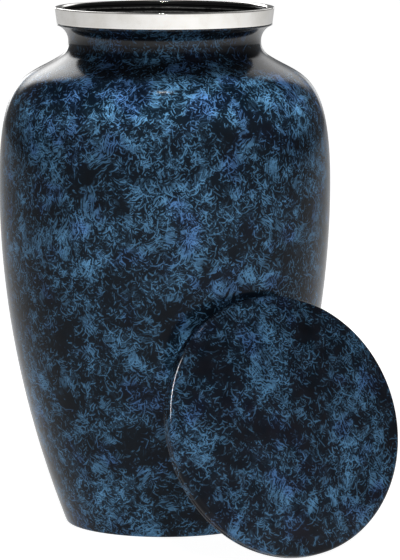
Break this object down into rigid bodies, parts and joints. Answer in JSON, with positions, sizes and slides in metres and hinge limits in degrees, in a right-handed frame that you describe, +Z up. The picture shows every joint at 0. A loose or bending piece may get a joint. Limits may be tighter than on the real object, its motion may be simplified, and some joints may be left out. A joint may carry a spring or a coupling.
{
  "type": "funeral urn",
  "caption": "Metal funeral urn of shouldered vase form in dark blue flecked lacquer, with a bright threaded ring at its open mouth and its domed screw lid leaning on the belly.",
  "frame": {"origin": "centre of the flat underside of the vessel's foot, on the vessel's axis", "axes": "+Z up along the vessel's axis, -Y towards the viewer of the picture, +X to the viewer's right, where the lid leans"},
  "size_m": [0.1817, 0.1906, 0.2385],
  "materials": {
    "fleck_lacquer": "gloss",
    "bright_metal": "polished"
  },
  "bodies": {
    "root": {"urn_body": "fleck_lacquer", "mouth_ring": "bright_metal", "lid": "fleck_lacquer"}
  },
  "joints": []
}
